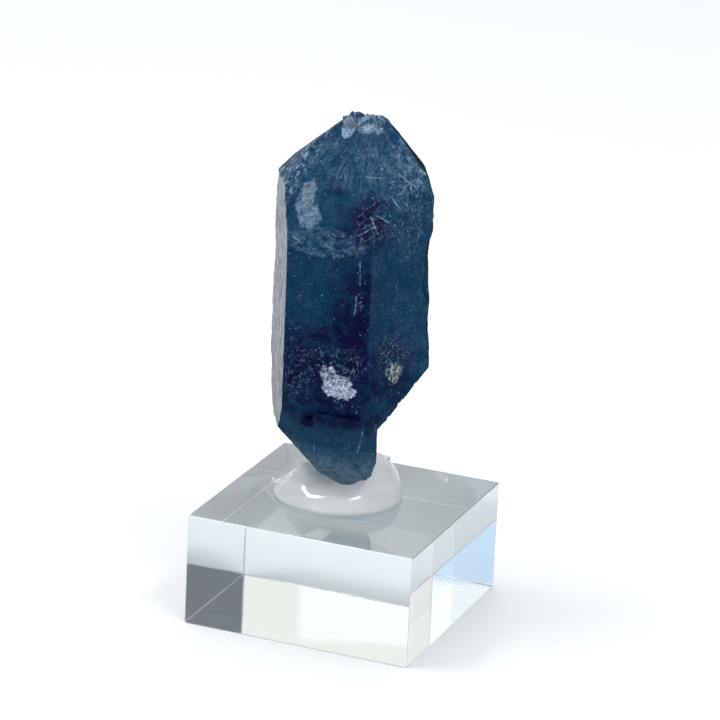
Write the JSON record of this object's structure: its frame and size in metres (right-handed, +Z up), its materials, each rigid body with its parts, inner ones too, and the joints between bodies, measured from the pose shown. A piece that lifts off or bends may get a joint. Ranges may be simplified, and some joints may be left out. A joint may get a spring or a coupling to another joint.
{
  "type": "quartz crystal specimen",
  "caption": "Dark blue quartz crystal, a six-sided prism pointed at both ends, standing upright in a dab of clear glue on a square clear acrylic block.",
  "frame": {"origin": "middle of the acrylic block's underside, which is the bottom centre of the part's box", "axes": "+Z up along the crystal's long axis; -Y towards the crystal's broad front face and the block's front face; +X to the right seen from the front"},
  "size_m": [0.03, 0.03, 0.0645],
  "materials": {
    "quartz": "dark blue, cloudy with fine inclusions, etched faces with a soft gloss",
    "glue": "clear glue, slightly milky, smooth and glossy",
    "acrylic": "clear polished acrylic with nicked edges"
  },
  "bodies": {
    "root": {"quartz_crystal": "quartz", "glue_dab": "glue", "acrylic_block": "acrylic"}
  },
  "joints": []
}
